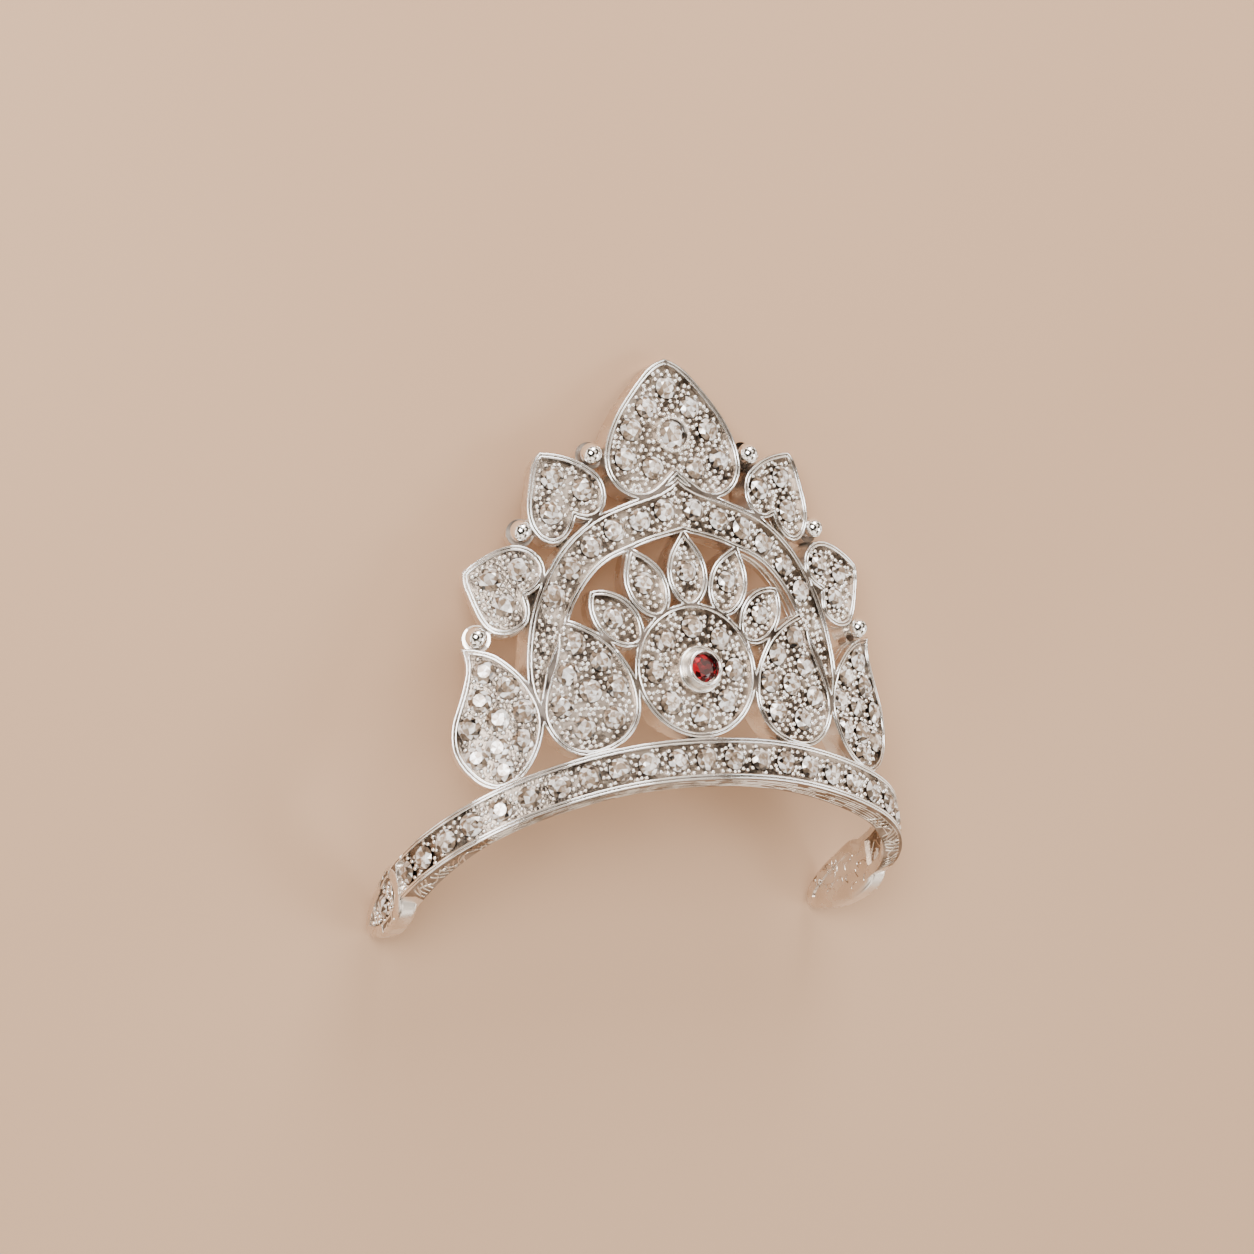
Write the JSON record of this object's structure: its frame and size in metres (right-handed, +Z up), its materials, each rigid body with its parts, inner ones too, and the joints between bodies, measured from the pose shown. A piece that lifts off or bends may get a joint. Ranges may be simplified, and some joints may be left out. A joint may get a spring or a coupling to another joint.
{
  "type": "mukut crown",
  "caption": "Small silver mukut crown for a shrine figure: pierced, granulated, set with clear stones and one red stone, laid on its back.",
  "frame": {"origin": "middle of the surface that the crown lies on, under the centre of its bounding box", "axes": "+X to the right as one looks down at its face with the top leaf's tip pointing away, +Y towards that tip, +Z up out of the surface; the crown lies on its back with its face up"},
  "size_m": [0.056, 0.0596, 0.0202],
  "materials": {
    "silver": "polished rims and beads, fine granules in the recesses",
    "clear_stone": "faceted, clear",
    "red_stone": "faceted, deep red"
  },
  "bodies": {
    "root": {"crown_frame": "silver", "red_stone": "red_stone", "band_stones": "clear_stone", "disc_stones": "clear_stone", "petal_stones": "clear_stone", "arch_stones": "clear_stone", "top_leaf_stones": "clear_stone", "upper_leaf_stones_left": "clear_stone", "upper_leaf_stones_right": "clear_stone", "lower_leaf_stones_left": "clear_stone", "lower_leaf_stones_right": "clear_stone", "inner_paisley_stones_left": "clear_stone", "inner_paisley_stones_right": "clear_stone", "outer_paisley_stones_left": "clear_stone", "outer_paisley_stones_right": "clear_stone", "foot_stone_left": "clear_stone", "foot_stone_right": "clear_stone"}
  },
  "joints": []
}
